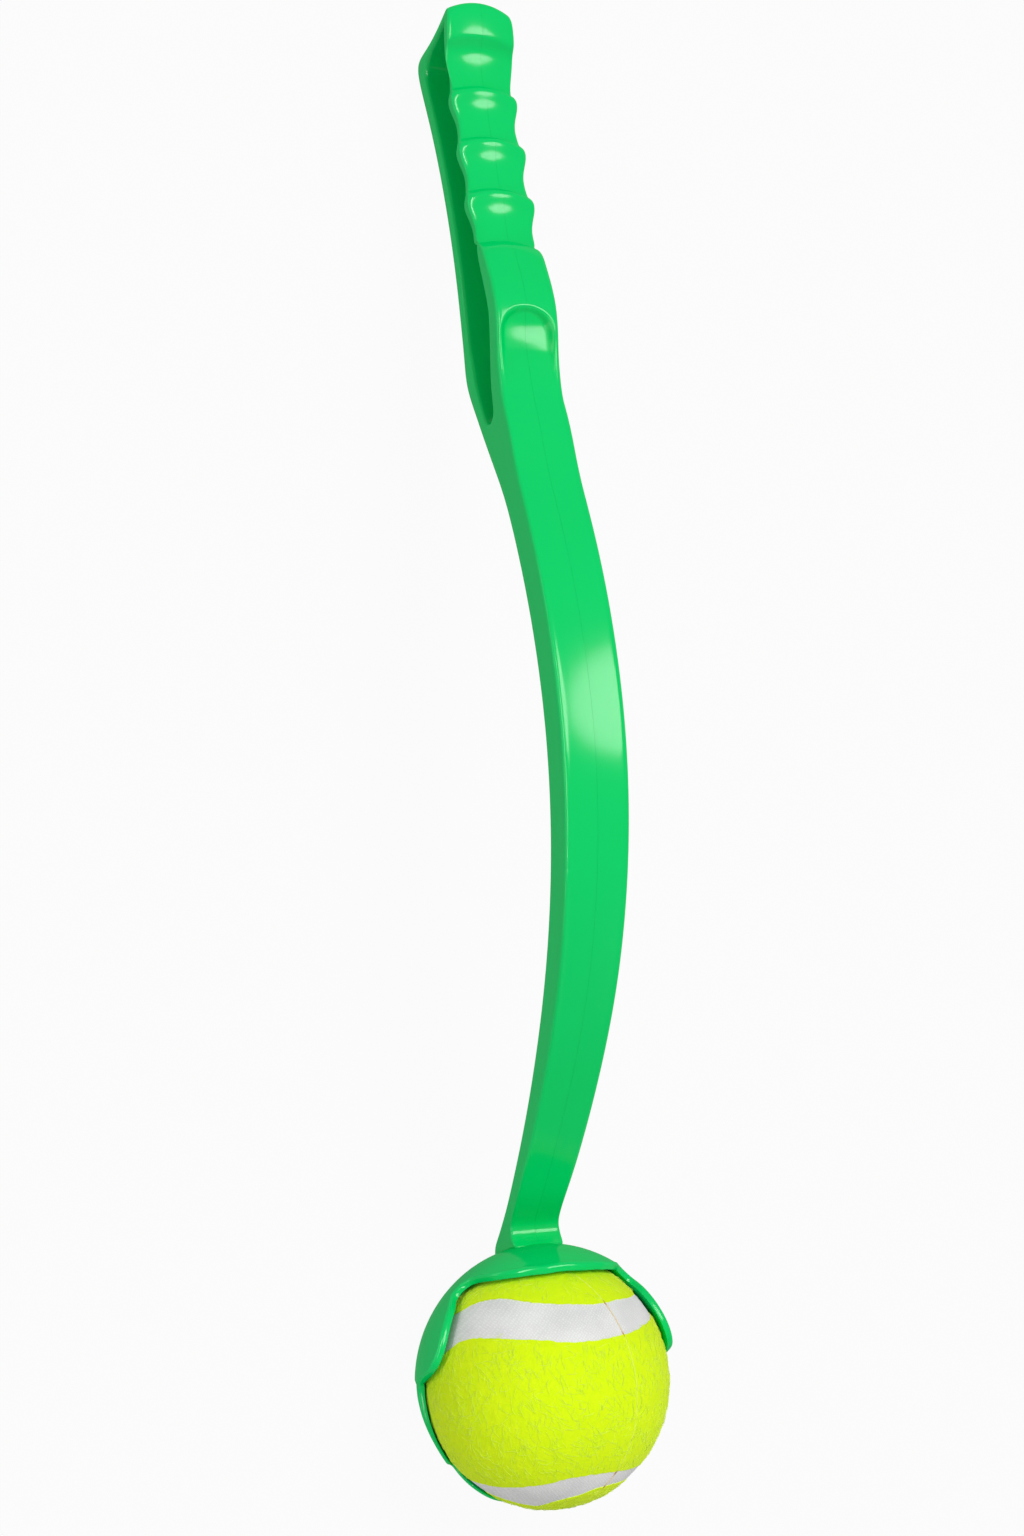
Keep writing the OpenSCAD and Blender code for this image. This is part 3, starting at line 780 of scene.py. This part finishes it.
# The seam's cement: a thin uneven bead of tan rubber glue in the joint between the two covers.
# It is brushed in wet, shows tan beside the bands and is dusted with the yellow of the felt.
bead_r = 0.17
bead_depth = 0.13
bead_wave = 0.06
seam_r = math.sqrt((ball_r - bead_depth) ** 2 - seam_offset ** 2)
bpy.ops.object.select_all(action="DESELECT")
bpy.ops.mesh.primitive_torus_add(
    major_segments=360, minor_segments=8, major_radius=seam_r * mm, minor_radius=bead_r * mm,
    location=ball_mid + seam_way * seam_offset * mm, rotation=(0, -seam_turn, 0))
bpy.ops.object.transform_apply(location=True, rotation=True, scale=True)
seam_bead = bpy.context.active_object
seam_bead.name = "seam_bead"
seam_bead.data.name = "seam_bead"
for vertex in seam_bead.data.vertices:
    out = (vertex.co - ball_mid).normalized()
    vertex.co += out * bead_wave * mm * noise.noise(out * 28)
bpy.ops.object.shade_smooth()
seam_tan, shader = new_material("seam_tan")
place = seam_tan.node_tree.nodes.new("ShaderNodeTexCoord")
parts = seam_tan.node_tree.nodes.new("ShaderNodeSeparateXYZ")
along = seam_tan.node_tree.nodes.new("ShaderNodeMapRange")
along.inputs["From Min"].default_value = ball_mid.y - ball_r * mm
along.inputs["From Max"].default_value = ball_mid.y + ball_r * mm
stripes = seam_tan.node_tree.nodes.new("ShaderNodeValToRGB")
dusted = (0.76, 0.90, 0.10, 1)
tan = (0.80, 0.66, 0.44, 1)
spot_brown = (0.52, 0.30, 0.08, 1)
ramp = stripes.color_ramp
ramp.elements[0].color = dusted
ramp.elements[1].color = dusted
for turn_low, turn_high in ((-50, -39.5), (25, 42)):
    for turn, step, colour in (
        (turn_low, -0.012, dusted), (turn_low, -0.003, spot_brown), (turn_low, 0.006, spot_brown),
        (turn_low, 0.014, tan), (turn_high, -0.014, tan), (turn_high, -0.006, spot_brown),
        (turn_high, 0.003, spot_brown), (turn_high, 0.012, dusted),
    ):
        ramp.elements.new((math.sin(math.radians(turn)) + 1) / 2 + step).color = colour
shader.inputs["Roughness"].default_value = 0.7
link(seam_tan, place.outputs["Object"], parts.inputs["Vector"])
link(seam_tan, parts.outputs["Y"], along.inputs["Value"])
link(seam_tan, along.outputs["Result"], stripes.inputs["Fac"])
link(seam_tan, stripes.outputs["Color"], shader.inputs["Base Color"])
dress(seam_bead, "ball", "seam_cement", "seam_cement", seam_tan)

# The floor: a wide plain white sheet that the launcher lies on.
# For the camera and for reflections it glows almost to white, and it keeps a faint shadow.
floor_size = 84
bpy.ops.object.select_all(action="DESELECT")
bpy.ops.mesh.primitive_plane_add(size=floor_size, location=(0, 0, 0))
floor = bpy.context.active_object
floor.name = "floor"


# One on the rays that show a white background: the camera's, reflected and refracted ones
def seen_white(tree):
    ray = tree.nodes.new("ShaderNodeLightPath")
    seen = ray.outputs["Is Camera Ray"]
    for kind in ("Is Glossy Ray", "Is Transmission Ray"):
        either = tree.nodes.new("ShaderNodeMath")
        either.operation = "MAXIMUM"
        tree.links.new(seen, either.inputs[0])
        tree.links.new(ray.outputs[kind], either.inputs[1])
        seen = either.outputs["Value"]
    return seen


white_sheet = bpy.data.materials.new("white_sheet")
white_sheet.use_nodes = True
nodes = white_sheet.node_tree.nodes
nodes.clear()
output = nodes.new("ShaderNodeOutputMaterial")
paper = nodes.new("ShaderNodeBsdfDiffuse")
paper.inputs["Color"].default_value = (0.36, 0.36, 0.36, 1)
glow = nodes.new("ShaderNodeEmission")
glow.inputs["Color"].default_value = (1, 1, 1, 1)
share = nodes.new("ShaderNodeMath")
share.operation = "MULTIPLY"
share.inputs[1].default_value = 0.95
sheet = nodes.new("ShaderNodeMixShader")
for source, target in (
    (seen_white(white_sheet.node_tree), share.inputs[0]),
    (share.outputs["Value"], sheet.inputs["Fac"]),
    (paper.outputs["BSDF"], sheet.inputs[1]),
    (glow.outputs["Emission"], sheet.inputs[2]),
    (sheet.outputs["Shader"], output.inputs["Surface"]),
):
    white_sheet.node_tree.links.new(source, target)
floor.data.materials.append(white_sheet)

# The light: a white room at the level of the colours, a round soft box overhead and a long low one on
# the left. A narrow strip that only reflections show draws the left edges, and a weak box at the cup's
# end lights the ball's lower side without showing in the gloss.
world = bpy.data.worlds.new("white_room")
bpy.context.scene.world = world
world.use_nodes = True
room = world.node_tree.nodes["Background"]
room.inputs["Color"].default_value = (1, 1, 1, 1)
room.inputs["Strength"].default_value = 0.38


def soft_box(name, shape, towards, aim, distance, across, along, radiance):
    lamp = bpy.data.lights.new(name, "AREA")
    lamp.shape = shape
    lamp.size = across
    lamp.size_y = along
    area = across * along * (math.pi / 4 if shape == "ELLIPSE" else 1)
    lamp.energy = radiance * math.pi * area
    holder = bpy.data.objects.new(name, lamp)
    bpy.context.collection.objects.link(holder)
    holder.location = aim + towards.normalized() * distance
    holder.rotation_euler = towards.to_track_quat("Z", "Y").to_euler()
    return holder


bow_spot = Vector((0, cup_mid.y + 0.125, 0.1))
soft_box("key_box", "ELLIPSE", Vector((0.25, 0.385, 0.888)), bow_spot, 3.0, 1.35, 1.35, 12.0)
soft_box("left_box", "RECTANGLE", Vector((-0.97, 0.15, 0.14)), bow_spot, 3.0, 3.4, 0.75, 3.0)
strip_box = soft_box("strip_box", "RECTANGLE", Vector((-0.54, 0.13, 0.83)), bow_spot, 3.0, 3.0, 0.24, 30.0)
strip_box.visible_diffuse = False
fill_box = soft_box("fill_box", "RECTANGLE", Vector((0.05, -0.7, 0.7)), bow_spot, 3.0, 1.8, 1.8, 1.7)
fill_box.visible_glossy = False

# The camera stands over the left of the launcher, as the photograph was taken
camera_data = bpy.data.cameras.new("camera")
camera = bpy.data.objects.new("camera", camera_data)
bpy.context.collection.objects.link(camera)
camera_data.sensor_width = 36
camera_data.lens = 46.875
right = Vector((0.9397, -0.0488, 0.3385)).normalized()
toward = Vector((-0.3420, -0.1340, 0.9301)).normalized()
up = toward.cross(right)
turn = Matrix((right, up, toward)).transposed().to_4x4()
camera.matrix_world = Matrix.Translation((-0.1894, cup_mid.y + 0.0896, 0.5458)) @ turn
bpy.context.scene.camera = camera
bpy.context.scene.view_settings.view_transform = "Standard"
